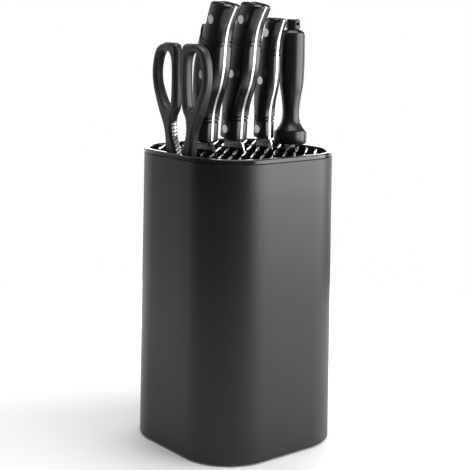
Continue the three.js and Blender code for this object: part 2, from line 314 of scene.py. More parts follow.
def rubber(place):
    dust = place.noise(900, 4, 0.7)
    return {"Base Color": dust.ramp((0.35, 0), (0.8, 1)).between((0.006, 0.006, 0.006), (0.03, 0.029, 0.027)),
            "Roughness": 0.75 + 0.2 * dust,
            "Normal": dust.bump(0.05 * MM)}


soft_rubber = make_finish("soft_rubber", rubber)
for number in range(1, 5):
    node = f"rubber_foot_{number}"
    low, high = box_mm(node)
    radius = (high.x - low.x) / 2
    foot = make_piece(f"foot_pad_{number}", [turned((low + high) / 2, [
        (radius - 0.4, high.z), (radius, high.z - 0.3), (radius, low.z + 0.5), (radius - 0.5, low.z),
        (radius - 2, low.z), (radius - 2.4, low.z + 0.4), (1, low.z + 0.4)])], soft_rubber)
    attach(foot, "housing")
    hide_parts(node)


# ---------- The insert's tray ----------
# A thin cup, moulded in plain black plastic, that slides into the shell from above. It holds the
# banks of vanes, and it lifts out with them to be washed.

TRAY_LOW, TRAY_HIGH = box_mm("insert_tray")
TRAY_INSET = RIM_HALF - TRAY_HIGH.x
TRAY_WALL = 1.4
TRAY_FLOOR = 2
TRAY_LIP = 0.4
tray_inside = TRAY_INSET + TRAY_WALL
tray_steps = [(TRAY_INSET + 6, TRAY_LOW.z), (TRAY_INSET + 1.2, TRAY_LOW.z),
              (TRAY_INSET + 0.3, TRAY_LOW.z + 0.4), (TRAY_INSET, TRAY_LOW.z + 1.3),
              (TRAY_INSET, TRAY_HIGH.z / 2), (TRAY_INSET, TRAY_HIGH.z - TRAY_LIP),
              (TRAY_INSET + TRAY_LIP, TRAY_HIGH.z), (tray_inside - TRAY_LIP, TRAY_HIGH.z),
              (tray_inside, TRAY_HIGH.z - TRAY_LIP), (tray_inside, TRAY_LOW.z + TRAY_FLOOR)]
tray = make_piece("tray_cup", [join_rings([straight_ring(*step) for step in tray_steps])], plain_black)
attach(tray, "insert")
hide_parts("insert_tray")


# ---------- The banks of vanes ----------
# Upright plastic vanes, thickest in the middle and set diagonally, stand in four banks on thin
# strips. Their rounded tops are shiny. Blades slide into the straight channels between the banks.

VANE_PITCH = 10.3
VANE_MIDDLE = 2.4
VANE_END = 1
VANE_LEAN = math.pi / 4
STRIP_THICK = 2
SOCKET_RADIUS = 5
POCKET_SIDE = -46.6
POCKET_BACK = 29.5
SAMPLE = 0.2  # step along a vane at which its ground is tried
VANE_ROWS = 11  # rows tried on each side of the middle one
SHORTEST_VANE = 2.5
VANE_SPOTS = [0, 0.02, 0.1, 0.25, 0.4, 0.5, 0.6, 0.75, 0.9, 0.98, 1]
VANE_CROWN = [(0.9, 0), (0.4, 0.1), (0.12, 0.26), (0, 0.48)]  # (below the top, inset) over the rounded top
THINNEST = 0.12
END_SHARE = 0.55  # how thick a vane is at its very ends, as a share
STRIP_ROWS = 36
STRIP_COLUMNS = 40
BANK_LOW, BANK_HIGH = box_mm("vane_bank_2")
BANK_HALF = 11
CHANNEL_PITCH = -(BANK_LOW.x + BANK_HIGH.x)
VANE_INSET = RIM_HALF - BANK_HIGH.y + 0.7
ROD_LOW, ROD_HIGH = box_mm("steel_rod")
rod_centre = (ROD_LOW + ROD_HIGH) / 2


def in_tray(x, y):
    """Whether a place in plan is inside the rounded square that the banks fill."""
    reach = RIM_HALF - CORNER
    over = Vector((max(abs(x) - reach, 0), max(abs(y) - reach, 0)))
    return over.length < CORNER - VANE_INSET


def holds_vane(x, y):
    """Whether a vane may stand here: in the tray, and clear of the scissors' pocket and the rod's socket."""
    pocket = x < POCKET_SIDE and y < POCKET_BACK
    socket = math.hypot(x - rod_centre.x, y - rod_centre.y) < SOCKET_RADIUS
    return in_tray(x, y) and not pocket and not socket


def vane_skin(middle, y, start, end, low, top):
    """One vane from start to end along its own length, with rounded top and ends."""
    half = BANK_HALF / math.cos(VANE_LEAN)
    along = Vector((math.cos(VANE_LEAN), math.sin(VANE_LEAN)))
    across = Vector((-along.y, along.x))
    rings = []
    for z, inset in [(low, 0)] + [(top - below, inset) for below, inset in VANE_CROWN]:
        sides = []
        for share in VANE_SPOTS:
            t = start + inset + (end - start - 2 * inset) * share
            thick = VANE_END / 2 + (VANE_MIDDLE - VANE_END) / 2 * (1 - (t / half) ** 2)
            thick = max(thick - inset, THINNEST) * (END_SHARE if share in (0, 1) else 1)
            sides.append((Vector((middle, y)) + along * t, across * thick))
        ring = [p + a for p, a in sides] + [p - a for p, a in reversed(sides)]
        rings.append([(p.x, p.y, z) for p in ring])
    return join_rings(rings)


def bank_skins(middle, low, top):
    """Every vane of one bank, each cut to the stretches where it may stand."""
    half = BANK_HALF / math.cos(VANE_LEAN)
    skins = []
    for row in range(-VANE_ROWS, VANE_ROWS + 1):
        y = middle * math.tan(VANE_LEAN) + row * VANE_PITCH
        if abs(y) >= RIM_HALF:
            continue
        steps = int(2 * half / SAMPLE)
        places = [-half + 2 * half * i / steps for i in range(steps + 1)]
        stretch = []
        for t in places + [None]:
            free = t is not None and holds_vane(middle + t * math.cos(VANE_LEAN), y + t * math.sin(VANE_LEAN))
            if free:
                stretch.append(t)
            elif stretch:
                if stretch[-1] - stretch[0] > SHORTEST_VANE:
                    skins.append(vane_skin(middle, y, stretch[0], stretch[-1], low, top))
                stretch = []
    return skins


def strip_skin(left, right, low):
    """The thin strip that a bank's vanes stand on, cut to the inside of the tray."""
    reach = RIM_HALF - VANE_INSET
    levels = [low, low + STRIP_THICK]
    rings = []
    for i in range(STRIP_ROWS + 1):
        y = (2 * i / STRIP_ROWS - 1) * (reach - 0.2)
        spots = [left + (right - left) * j / STRIP_COLUMNS for j in range(STRIP_COLUMNS + 1)]
        inside = [x for x in spots if in_tray(x, y)]
        if len(inside) > 1:
            rings.append([(inside[0], y, levels[0]), (inside[-1], y, levels[0]),
                          (inside[-1], y, levels[1]), (inside[0], y, levels[1])])
    return join_rings(rings)


shiny_vane = moulded_plastic("shiny_vane", (0.004, 0.0042, 0.0042), (0.008, 0.0085, 0.0085),
                             gloss=0.16, smudge=0.1, grain=1.2, depth=0.01)
for number in range(1, 5):
    node = f"vane_bank_{number}"
    low, high = box_mm(node)
    middle = (number - 2.5) * CHANNEL_PITCH
    left, right = middle - BANK_HALF, middle + BANK_HALF
    if number == 1:
        left = low.x
    skins = bank_skins(middle, low.z, high.z) + [strip_skin(left, right, low.z)]
    vanes = make_piece(f"vanes_{number}", skins, shiny_vane)
    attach(vanes, "insert")
    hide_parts(node)


# ---------- The knife blades ----------
# Each blade and its full-width tang are one plate of stainless steel. The tang's edge shows as a
# bright strip between the scales. Below the handle the plate swells to a heel and is ground thin.

HANDLE_STATIONS = [  # share of the handle's length, centre towards the belly, half width
    (0, -0.3, 9.7), (0.14, -1.2, 9.3), (0.23, -1.5, 9.6), (0.32, -1.2, 11.2), (0.42, -0.2, 13.2),
    (0.54, 0.4, 14.2), (0.66, 1, 13.2), (0.75, 1.9, 12.2), (0.86, 4.1, 11.8), (1, 10.3, 11.8)]
TANG = 2
TANG_SHORT = 1.2
KNIVES = {
    "chef_knife": {"length": 103, "width": 1, "blade": 203, "heel": 25, "drop": 9.6},
    "slicing_knife": {"length": 103, "width": 1, "blade": 203, "heel": 19, "drop": 6},
    "utility_knife": {"length": 91.26, "width": 0.76, "blade": 127, "heel": 11, "drop": 5},
}


def through(points, count=12):
    """A smooth line through points, with count steps between each two."""
    line = []
    for i in range(len(points) - 1):
        a, b, c, d = (Vector(points[max(0, min(len(points) - 1, i + k))]) for k in (-1, 0, 1, 2))
        for step in range(count):
            t = step / count
            line.append(((b * 2) + (c - a) * t + (a * 2 - b * 5 + c * 4 - d) * t * t
                         + (b * 3 - a - c * 3 + d) * t ** 3) / 2)
    return line + [Vector(points[-1])]


HANDLE_LINE = through(HANDLE_STATIONS)


def handle_at(share):
    """The handle's centre line and half width at a share of its length."""
    share = min(max(share, 0), 1)
    for before, after in zip(HANDLE_LINE, HANDLE_LINE[1:]):
        if share <= after.x:
            found = before.lerp(after, (share - before.x) / (after.x - before.x))
            return found.y, found.z
    return HANDLE_LINE[-1].y, HANDLE_LINE[-1].z


for name, knife in KNIVES.items():
    joint = next(j for j in frame["joints"] if j["child"] == name)
    axis = Vector(joint["axis"])
    belly = Vector((0, -axis.z, axis.y))
    pin_low, pin_high = box_mm(f"{name}_rivet_1")
    pin = (pin_low + pin_high) / 2
    centre, half = (value * knife["width"] for value in handle_at(1))
    base_z = box_mm(f"{name}_blade")[1].z - axis.z * knife["length"] - belly.z * (centre - half)
    pin_up = (pin.z - base_z) / axis.z
    pin_offset = handle_at(pin_up / knife["length"])[0] * knife["width"]
    base_y = pin.y - axis.y * pin_up - belly.y * pin_offset
    knife.update(axis=axis, belly=belly, origin=Vector((pin.x, base_y, base_z)),
                 half_thick=(pin_high.x - pin_low.x) / 2)


def on_knife(knife, side, towards_belly, up):
    """A place on a knife: sideways, towards its belly, and up along its handle."""
    return knife["origin"] + Vector((side, 0, 0)) + knife["belly"] * towards_belly + knife["axis"] * up


def curve(a, b, c, steps):
    """Points of a quadratic curve from a to c, drawn towards b."""
    a, b, c = Vector(a), Vector(b), Vector(c)
    return [a.lerp(b, t).lerp(b.lerp(c, t), t) for t in (i / steps for i in range(steps + 1))]


def across_at(line, up):
    """Where a line of (across, up) points that runs downwards crosses a height."""
    for above, below in zip(line, line[1:]):
        if above.y >= up >= below.y and above.y > below.y:
            return above.lerp(below, (above.y - up) / (above.y - below.y)).x
    return line[-1].x


RECESS_START = 0.825  # share of the length where the spine steps in, above the upper grooves
RECESS_END = 0.95
RECESS = 1.9


def spine_recess(share):
    """How far the spine side stands in, which is most just above the upper grooves."""
    if not RECESS_START < share < RECESS_END:
        return 0
    return RECESS * (RECESS_END - share) / (RECESS_END - RECESS_START)


def plate_ring(place, back, edge, up, thick, ground):
    """A section of a plate: ground is 0 where both edges are square and 1 where the edge is sharp."""
    half = thick / 2
    wide = edge - back
    sides = [(0, half - 0.15), (min(0.15 / max(abs(wide), 1), 0.1), half), (0.45, half * (1 - 0.12 * ground)),
             (0.8, half * (1 - 0.45 * ground)), (0.96, half * (1 - 0.78 * ground)),
             (1, (half - 0.15) * (1 - ground) + 0.06 * ground)]
    ring = [(back + wide * share, side) for share, side in sides]
    return [place(side, across, up) for across, side in ring] + \
        [place(-side, across, up) for across, side in reversed(ring)]


HEEL_SHARE = 0.75  # how far below the handle the heel ends, as a share of the heel's depth
EDGE_TURN, EDGE_PULL = 0.4, 0.72  # shares of the blade where its edge leaves the straight and is drawn to
SPINE_TURN, SPINE_PULL = 0.55, 0.85  # the same for its spine
LAST_SECTION = 0.597  # share of the blade from the edge's turn to the section nearest the tip


def blade_rings(knife):
    """Sections of one tang and blade, from the butt of the handle down to the tip."""
    def place(side, across, up):
        return on_knife(knife, side, across, up)
    width, heel, blade = knife["width"], knife["heel"], knife["blade"]
    rings = []
    for i in range(61):
        share = (1 - TANG_SHORT / knife["length"]) * (1 - i / 60)
        centre, half = (value * width for value in handle_at(share))
        back = centre - half + spine_recess(share) * width
        rings.append(plate_ring(place, back, centre + half, share * knife["length"], TANG, 0))
    spine = -HANDLE_STATIONS[0][2] * width
    front = -spine
    tip = (spine + knife["drop"], -blade)
    heel_foot = -heel * HEEL_SHARE
    edge_line = curve((front, 1), (front + 2, -2), (heel, heel_foot), 14) + \
        curve((heel, -blade * EDGE_TURN), (heel, -blade * EDGE_PULL), tip, 24)
    spine_line = [Vector((spine, 1)), Vector((spine, -blade * SPINE_TURN))] + \
        curve((spine, -blade * SPINE_TURN), (spine, -blade * SPINE_PULL), tip, 20)
    heights = [heel_foot * (i / 14) for i in range(1, 15)]
    heights += [heel_foot + (-blade * EDGE_TURN - heel_foot) * i / 6 for i in range(1, 7)]
    heights += [-blade * (EDGE_TURN + LAST_SECTION * i / 30) for i in range(1, 31)]
    for up in heights:
        ground = min(1, 2 * up / heel_foot)
        taper = 1 - 0.5 * max(0, (-up - heel) / (blade - heel))
        rings.append(plate_ring(place, across_at(spine_line, up), across_at(edge_line, up), up,
                                TANG * taper, ground))
    return rings


def brushed(name, scales, tint=(0.74, 0.74, 0.73), gloss=0.2, belted=0.0, belted_from=0.0):
    """Stainless steel with fine polishing lines, and a rougher belt finish above a height in metres."""
    def surface(place):
        lines = place.stretched(scales).noise(1, 3, 0.65)
        clouds = place.noise(45, 3)
        height = place.add("ShaderNodeSeparateXYZ", {}, {0: place}, "Z")
        belt = height.add("ShaderNodeMapRange", {}, {0: height, 1: belted_from, 2: belted_from + MM}, 0)
        return {"Base Color": lines.ramp((0.25, 0), (0.75, 1)).between([0.88 * c for c in tint], tint),
                "Metallic": 1.0,
                "Roughness": gloss + belted * belt + 0.08 * (lines - 0.5) + 0.06 * (clouds - 0.5),
                "Normal": lines.bump(0.0008 * MM, 0.4)}
    return make_finish(name, surface)


ground_steel = brushed("ground_steel", (1500, 1500, 60), gloss=0.09, belted=0.33,
                       belted_from=KNIVES["chef_knife"]["origin"].z * MM)
for name, knife in KNIVES.items():
    blade = make_piece(f"{name}_tang_and_blade", [join_rings(blade_rings(knife))], ground_steel, 24)
    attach(blade, name)
    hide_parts(f"{name}_blade")


# ---------- The handle scales ----------
# Two scales of polished black plastic are riveted to each tang. Double grooves cross each side and
# run on round the belly. The panel between them stands a little prouder than the ends, and above the
# upper grooves the spine side steps down to a shelf.

SCALE_GAP = 0.04
ROUNDING = 5.4
PIN_SEAT = 3.4  # the flat of each face is never narrower than a rivet
CROWN = 0.45
SUNK = 0.4
GROOVE_HALF = 0.75
GROOVE_DEPTH = 0.6
VALLEY = 1.1  # how far the butt dips towards the tang
SHELF = 1.1  # depth of the shelf between the upper grooves, on the spine side
BANDS = (0.16, 0.713)  # shares of the length where the double grooves cross the belly
SLANT = 0.115  # how much higher, as a share of the length, the grooves are at the spine
SHELF_SLOPE = 1.2  # length over which the surface drops to the shelf
SHELF_LEFT = 0.25  # share of the shelf's depth that is left at the butt
GROOVE_APART = 1.35  # from the middle of a band to each of its two grooves
BAND_MARGIN = 2.6
GUIDE_HALF = 10  # half width of the plain section that the climb is worked out on
CLIMB_START, CLIMB_RUN = 0.34, 0.5  # shares of it where the grooves begin to climb, and over which they do
BUTT_ROUND = 5


def row_slant(share):
    """How far a row of the scale climbs towards the spine, as a share of the length."""
    low, high = BANDS
    if share < low:
        return SLANT * share / low
    if share < high:
        return SLANT
    return SLANT * (1 - share) / (1 - high)


def shelf_depth(share, length):
    """How deep a row stands behind the shelf: a short slope at the upper grooves, fading to the butt."""
    above = (share - BANDS[1]) * length
    fade = min(1, (1 - share) / (1 - BANDS[1]) + SHELF_LEFT)
    return SHELF * min(max(above / SHELF_SLOPE + 0.5, 0), 1) * fade


def scale_rows(length):
    """(share, how deep the surface is sunk, how far the end is rounded in) for each row of a scale."""
    low, high = BANDS
    rows = [(0, SUNK, 0.9), (0.3 / length, SUNK, 0.4), (1 / length, SUNK, 0)]

    def stretch(start, end, count, sunk):
        rows.extend((start + (end - start) * i / count, sunk, 0) for i in range(count + 1))

    def band(middle, before, after):
        for k, offset in enumerate((-GROOVE_APART, GROOVE_APART)):
            for step, depth in ((-GROOVE_HALF, 0), (-GROOVE_HALF * 0.5, GROOVE_DEPTH),
                                (GROOVE_HALF * 0.5, GROOVE_DEPTH), (GROOVE_HALF, 0)):
                side = before if k == 0 and step < 0 else after if k == 1 and step > 0 else SUNK / 2
                rows.append((middle + (offset + step) / length, side + depth, 0))

    margin = BAND_MARGIN / length
    stretch(3 / length, low - margin, 5, SUNK)
    band(low, SUNK, 0)
    stretch(low + margin, high - margin, 26, 0)
    band(high, 0, SUNK)
    stretch(high + margin, 1 - 3 / length, 14, SUNK)
    rows += [(1 - 2.6 / length, SUNK, 0.1), (1 - 1.7 / length, SUNK, 0.5), (1 - 0.9 / length, SUNK, 1.3),
             (1 - 0.4 / length, SUNK, 2.4), (1 - 0.1 / length, SUNK, 3.8), (1, SUNK, BUTT_ROUND)]
    return rows


def scale_section(half, thick):
    """(across, out, how freely it may sink) round one scale's section, from belly to spine."""
    face = TANG / 2 + SCALE_GAP
    round_in = min(ROUNDING, thick - face - 0.6, half - PIN_SEAT)
    flat = half - round_in
    arc = [i / 8 * math.pi / 2 for i in range(9)]
    belly = [(half - 0.1, face, 0), (half, face + 0.12, 0.15)]
    belly += [(flat + round_in * math.cos(a), thick - CROWN - round_in * (1 - math.sin(a)), min(1, 0.4 + a))
              for a in arc]
    middle = [(flat * (1 - 2 * i / 8), thick - CROWN * (1 - 2 * i / 8) ** 2, 1) for i in range(1, 8)]
    spine = [(-across, out, free) for across, out, free in reversed(belly)]
    return belly + middle + spine


def scale_skin(knife, sign):
    """One scale of a knife, on the side that sign gives."""
    length, width = knife["length"], knife["width"]
    face = TANG / 2 + SCALE_GAP
    guide = scale_section(GUIDE_HALF, knife["half_thick"])
    rings = []
    for share, sunk, end in scale_rows(length):
        ring = []
        for k, (guide_across, _, _) in enumerate(guide):
            climb = min(max((-CLIMB_START - guide_across / GUIDE_HALF) / CLIMB_RUN, 0), 1)
            here = share + row_slant(share) * climb
            centre, half = (value * width for value in handle_at(here))
            across, out, free = scale_section(half - end, knife["half_thick"] - end)[k]
            drop = sunk * free + shelf_depth(share, length) * climb * min(1, 2 * free)
            across -= math.copysign(drop * min(1, max(0, abs(across) / half * 2 - 1)), across)
            across += spine_recess(here) * width * min(1, max(0, -1.5 * across / half))
            out = max(out - drop, face)
            valley = VALLEY * end / BUTT_ROUND * max(0, 1 - (out - face) / 3)
            ring.append(on_knife(knife, sign * out, centre + across, here * length - valley))
        rings.append(ring)
    return join_rings(rings)


polished_scale = moulded_plastic("polished_scale", (0.003, 0.0034, 0.0038), (0.0055, 0.006, 0.0066),
                                 gloss=0.26, smudge=0.07, grain=1.4, depth=0.008, ior=1.5)
for name, knife in KNIVES.items():
    for side, sign in (("left", -1), ("right", 1)):
        scale = make_piece(f"{name}_{side}_side", [scale_skin(knife, sign)], polished_scale, 28)
        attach(scale, name)
        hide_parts(f"{name}_scale_{side}")


# ---------- The rivets ----------
# Three steel rivets go through both scales and the tang of each knife. They are ground flush, so
# each shows as a bright, faintly mottled disc.

RIVET_PROUD = 0.12


def cross_pin(centre, radius, reach, sides=32, edge=0.15):
    """A pin lying along X through centre, with softened ends."""
    rings = []
    for x, r in ((-reach, radius - 1.2 * edge), (-reach + edge, radius), (reach - edge, radius),
                 (reach, radius - 1.2 * edge)):
        rings.append([(centre.x + x, centre.y + r * math.cos(a), centre.z + r * math.sin(a))
                      for a in angles_round(sides)])
    return join_rings(rings)


def pin_face(place):
    mottle = place.noise(700, 4, 0.7)
    scratches = place.stretched((600, 4200, 500)).noise(1, 2)
    return {"Base Color": mottle.ramp((0.3, 0), (0.7, 1)).between((0.42, 0.42, 0.4), (0.8, 0.8, 0.78)),
            "Metallic": 1.0,
            "Roughness": 0.3 + 0.2 * (mottle - 0.5) + 0.1 * (scratches - 0.5),
            "Normal": (mottle + 0.4 * scratches).bump(0.03 * MM, 0.6)}


flush_pin = make_finish("flush_pin", pin_face)
for name, knife in KNIVES.items():
    for number in (1, 2, 3):
        low, high = box_mm(f"{name}_rivet_{number}")
        sunk = 0 if number == 2 else SUNK
        reach = min(knife["half_thick"], knife["half_thick"] - sunk + RIVET_PROUD)
        pin = make_piece(f"{name}_pin_{number}", [cross_pin((low + high) / 2, (high.z - low.z) / 2, reach)],
                         flush_pin)
        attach(pin, name)
        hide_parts(f"{name}_rivet_{number}")


# ---------- The honing steel ----------
# A ribbed steel rod is fixed in a waisted handle of black plastic. A guard ring keeps the hand off
# the rod, and a cap that is drilled through for hanging closes the top.

RIBS = 30
RIB_DEPTH = 0.22
rod_radius = (ROD_HIGH.x - ROD_LOW.x) / 2


def rod_ring(z, radius):
    """A section of the rod: every second point lies in a groove between two ribs."""
    return [(rod_centre.x + r * math.cos(a), rod_centre.y + r * math.sin(a), z)
            for a, r in ((a, radius - (RIB_DEPTH if i % 2 else 0))
                         for i, a in enumerate(angles_round(2 * RIBS)))]


rod_steel = brushed("rod_steel", (900, 900, 40), tint=(0.5, 0.5, 0.5), gloss=0.28)
rod = make_piece("ribbed_rod", [join_rings([
    rod_ring(ROD_LOW.z, 1.6), rod_ring(ROD_LOW.z + 1.2, 2.7), rod_ring(ROD_LOW.z + 4, rod_radius),
    rod_ring(ROD_HIGH.z / 2, rod_radius), rod_ring(ROD_HIGH.z, rod_radius)])], rod_steel, 60)
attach(rod, "honing_steel")
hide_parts("steel_rod")

GUARD_LOW, GUARD_HIGH = box_mm("steel_guard")
guard_radius = (GUARD_HIGH.x - GUARD_LOW.x) / 2
ROD_BORE = 4.2
GUARD_ROUND = 1.2
satin_handle = moulded_plastic("satin_handle", (0.004, 0.0045, 0.0045), (0.0075, 0.008, 0.008),
                               gloss=0.3, smudge=0.06, grain=0.9, depth=0.01)
guard = make_piece("guard_ring", [turned(rod_centre, [
    (ROD_BORE, GUARD_LOW.z), (guard_radius - GUARD_ROUND, GUARD_LOW.z),
    (guard_radius - 0.35, GUARD_LOW.z + 0.35), (guard_radius, GUARD_LOW.z + GUARD_ROUND),
    (guard_radius, GUARD_HIGH.z - GUARD_ROUND), (guard_radius - 0.35, GUARD_HIGH.z - 0.35),
    (guard_radius - GUARD_ROUND, GUARD_HIGH.z), (ROD_BORE, GUARD_HIGH.z)], 64)], satin_handle)
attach(guard, "honing_steel")
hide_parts("steel_guard")

GRIP_LOW, GRIP_HIGH = box_mm("steel_handle")
shoulder = GRIP_HIGH.z - GRIP_LOW.z
grip_line = through([(11.6, 0), (7.6, 6), (6.4, 13), (7.4, 24), (9.2, 36), (9.6, 52), (9.4, shoulder - 6),
                     (9.2, shoulder - 2.8)], 8) + [Vector(step) for step in (
                         (8.9, shoulder - 2.3), (6.2, shoulder - 0.5), (5, shoulder))]
grip = make_piece("steel_grip", [turned(rod_centre, [(ROD_BORE, GRIP_LOW.z)] + [
    (p.x, GRIP_LOW.z + p.y) for p in grip_line] + [(4, GRIP_HIGH.z)], 64)], satin_handle)
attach(grip, "honing_steel")
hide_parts("steel_handle")

CAP_LOW, CAP_HIGH = box_mm("steel_end_cap")
CAP_RADIUS = (CAP_HIGH.x - CAP_LOW.x) / 2
EYE_RADIUS = 1.15
EYE_WALL = 0.55
CAP_SPIGOT = 4.6
DRILL_REACH = 10
cap_middle = (CAP_LOW + CAP_HIGH) / 2


def lying_rings(centre, steps, sides=28):
    """Rings round a line along Y through centre, from (radius, y) steps."""
    return [[(centre.x + r * math.cos(a), centre.y + y, centre.z + r * math.sin(a))
             for a in angles_round(sides)] for r, y in steps]


def lying_tube(centre, inside, outside, reach):
    """A short tube lying along Y through centre, with softened mouths."""
    soft = (outside - inside) / 3
    steps = [(outside, -reach + soft), (outside - soft, -reach), (inside + soft, -reach),
             (inside, -reach + soft), (inside, reach - soft), (inside + soft, reach),
             (outside - soft, reach), (outside, reach - soft)]
    return join_rings(lying_rings(centre, steps), closed=True)


def drilled(piece, drill):
    """Cuts one piece out of another and takes the cutter away."""
    hole = piece.modifiers.new("hole", "BOOLEAN")
    hole.operation = "DIFFERENCE"
    hole.object = drill
    bpy.context.view_layer.update()
    mesh = bpy.data.meshes.new_from_object(piece.evaluated_get(bpy.context.evaluated_depsgraph_get()))
    piece.modifiers.clear()
    piece.data = mesh
    bpy.data.objects.remove(drill)
    mesh.set_sharp_from_angle(angle=math.radians(32))


cap = make_piece("hanging_cap", [turned(rod_centre, [
    (CAP_SPIGOT, GRIP_HIGH.z), (CAP_SPIGOT, CAP_LOW.z), (CAP_RADIUS, CAP_LOW.z + 0.4),
    (CAP_RADIUS, CAP_HIGH.z - 1.6), (CAP_RADIUS - 0.3, CAP_HIGH.z - 0.7),
    (CAP_RADIUS - 1, CAP_HIGH.z - 0.15), (CAP_RADIUS - 2.2, CAP_HIGH.z)], 48)], satin_handle)
bore = EYE_RADIUS + EYE_WALL / 2
drilled(cap, make_piece("cap_drill", [join_rings(lying_rings(
    cap_middle, [(bore, -DRILL_REACH), (bore, DRILL_REACH)]))], satin_handle))
eyelet = make_piece("cap_eyelet", [lying_tube(cap_middle, EYE_RADIUS, EYE_RADIUS + EYE_WALL, CAP_RADIUS)],
                    satin_handle)
for part in (cap, eyelet):
    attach(part, "honing_steel")
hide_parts("steel_end_cap")


# ---------- The scissors' blades and pivot ----------
# Two hardened steel blades are ground on their outer faces and turn on a large rivet. Above it each
# carries a toothed jaw, set into the handle's inner side, for cracking nuts and gripping caps.

PIVOT_LOW, PIVOT_HIGH = box_mm("scissors_pivot_rivet")
pivot = (PIVOT_LOW + PIVOT_HIGH) / 2
SHEAR_PLATE = 1.6
SHEAR_PLANE = 0.95
SHEAR_LENGTH = 95
JAW_LOW, JAW_HIGH = 24, 51.5
JAW_HALF = 2.2
JAW_PROUD = 1.1
JAW_DEEP = 2.5
TOOTH_PITCH = 2.6
TOOTH_DEPTH = 1.3
TOOTH_SLANT = 0.7
INNER_LINE = [(8, 105.3), (3.6, 102), (3.3, 84), (3.5, 61), (8.4, 51), (8.8, 40), (3.4, 27), (1.4, 12)]


def on_scissors(turn):
    """Places on one half: outwards from the closing line, up from the pivot, and sideways."""
    return lambda side, out, up: pivot + Vector((turn * side, -turn * out, up))


def shear_rings(place):
    """Sections of one blade, from its tang in the handle down to the tip."""
    back_line = [Vector(p) for p in ((15, 50), (15, 30), (11.5, 14), (11.5, 0), (8, -9), (1.5, -14),
                                     (1.5, -SHEAR_LENGTH + 12), (-0.5, -SHEAR_LENGTH))]
    edge_line = [Vector(p) for p in ((9, 50), (8.4, 34), (4.2, 27), (1.4, 12), (-9, 9), (-12, -4), (-12, -24),
                                     (-6, -SHEAR_LENGTH * 0.7), (-0.6, -SHEAR_LENGTH))]
    rings = []
    heights = [50, 40, 30, 20, 14, 12, 10.5, 9, 4, 0, -4, -9, -14, -24] + \
        [-24 - (SHEAR_LENGTH - 24.4) * i / 16 for i in range(1, 17)]
    for up in heights:
        ground = min(1, max(0, (-up - 4) / 16))
        rings.append(plate_ring(lambda side, across, up: place(side - SHEAR_PLANE, across, up),
                                across_at(edge_line, up), across_at(back_line, up), up,
                                SHEAR_PLATE * (1 - 0.3 * ground), 0))
    return rings


def jaw_skin(place):
    """The toothed face of one jaw: slanting ridges along the curved inner edge of the handle."""
    inner_edge = through(INNER_LINE, 10)
    corners = [(-JAW_HALF, 0), (0, 0), (JAW_HALF, 0), (JAW_HALF, JAW_DEEP), (-JAW_HALF, JAW_DEEP)]
    rings = []
    for step in range(2 * int((JAW_HIGH - JAW_LOW) / TOOTH_PITCH) + 1):
        middle = JAW_LOW + step * TOOTH_PITCH / 2
        ring = []
        for side, deep in corners:
            up = middle - TOOTH_SLANT * side
            tooth = TOOTH_DEPTH if step % 2 and not deep else 0
            ring.append(place(side, across_at(inner_edge, up) - JAW_PROUD + deep + tooth, up))
        rings.append(ring)
    return join_rings(rings)


shear_steel = brushed("shear_steel", (60, 1400, 1400), gloss=0.24)
jaw_steel = brushed("jaw_steel", (1200, 1200, 1200), tint=(0.2, 0.2, 0.195), gloss=0.26)
halves = (("right", 1), ("left", -1))
for side, turn in halves:
    place = on_scissors(turn)
    body = f"scissors_{side}_half"
    blade = make_piece(f"shear_blade_{side}", [join_rings(shear_rings(place))], shear_steel, 24)
    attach(blade, body)
    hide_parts(f"scissors_blade_{side}")
    jaw = make_piece(f"nut_jaw_{side}", [jaw_skin(place)], jaw_steel, 20)
    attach(jaw, body)

hub = (PIVOT_HIGH.z - PIVOT_LOW.z) / 2
reach = (PIVOT_HIGH.x - PIVOT_LOW.x) / 2
pin = make_piece("shear_pivot", [cross_pin(pivot, hub, reach, 40, 0.4)], flush_pin)
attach(pin, "scissors_right_half")
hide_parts("scissors_pivot_rivet")


# ---------- The scissors' handles ----------
# Two finger loops of tough satin plastic, moulded round the tangs, with softly rounded bars and a
# fine edge round each finger hole.

GRIP_ROUND = 2.3
OUTER_LINE = [(13, 12), (15.5, 27), (18.2, 43), (25.6, 57.5), (32.2, 74), (33, 88), (28.3, 101), (18, 105.5)]
FINGER_HOLE = [(9, 92), (14.5, 99.5), (22.5, 98), (27, 88), (26.6, 76), (19, 62.5), (12.8, 59), (9.2, 64.5)]


def finger_hole_line():
    """The smooth closed line of the finger hole."""
    return through(FINGER_HOLE[-2:] + FINGER_HOLE + FINGER_HOLE[:2], 10)[20:-11]


def loop_mesh(name, thick):
    """The handle's outline with its finger hole, filled and given rounded edges."""
    line = bpy.data.curves.new(name, "CURVE")
    line.dimensions = "2D"
    line.fill_mode = "BOTH"
    line.extrude = (thick / 2 - GRIP_ROUND) * MM
    line.bevel_depth = GRIP_ROUND * MM
    line.bevel_resolution = 4
    line.offset = -GRIP_ROUND * MM
    outline = through(OUTER_LINE, 10) + through(INNER_LINE, 10)
    for points in (outline, finger_hole_line()):
        spline = line.splines.new("POLY")
        spline.points.add(len(points) - 1)
        spline.use_cyclic_u = True
        for point, (across, up) in zip(spline.points, points):
            point.co = (across * MM, up * MM, 0, 1)
    holder = bpy.data.objects.new(name, line)
    bpy.context.scene.collection.objects.link(holder)
    bpy.context.view_layer.update()
    mesh = bpy.data.meshes.new_from_object(holder.evaluated_get(bpy.context.evaluated_depsgraph_get()))
    bpy.data.objects.remove(holder)
    return mesh


satin_grip = moulded_plastic("satin_grip", (0.011, 0.012, 0.0125), (0.017, 0.018, 0.0185),
                             gloss=0.42, smudge=0.08, grain=0.7, depth=0.02)
LIP = 0.42
LIP_INSET = 0.9


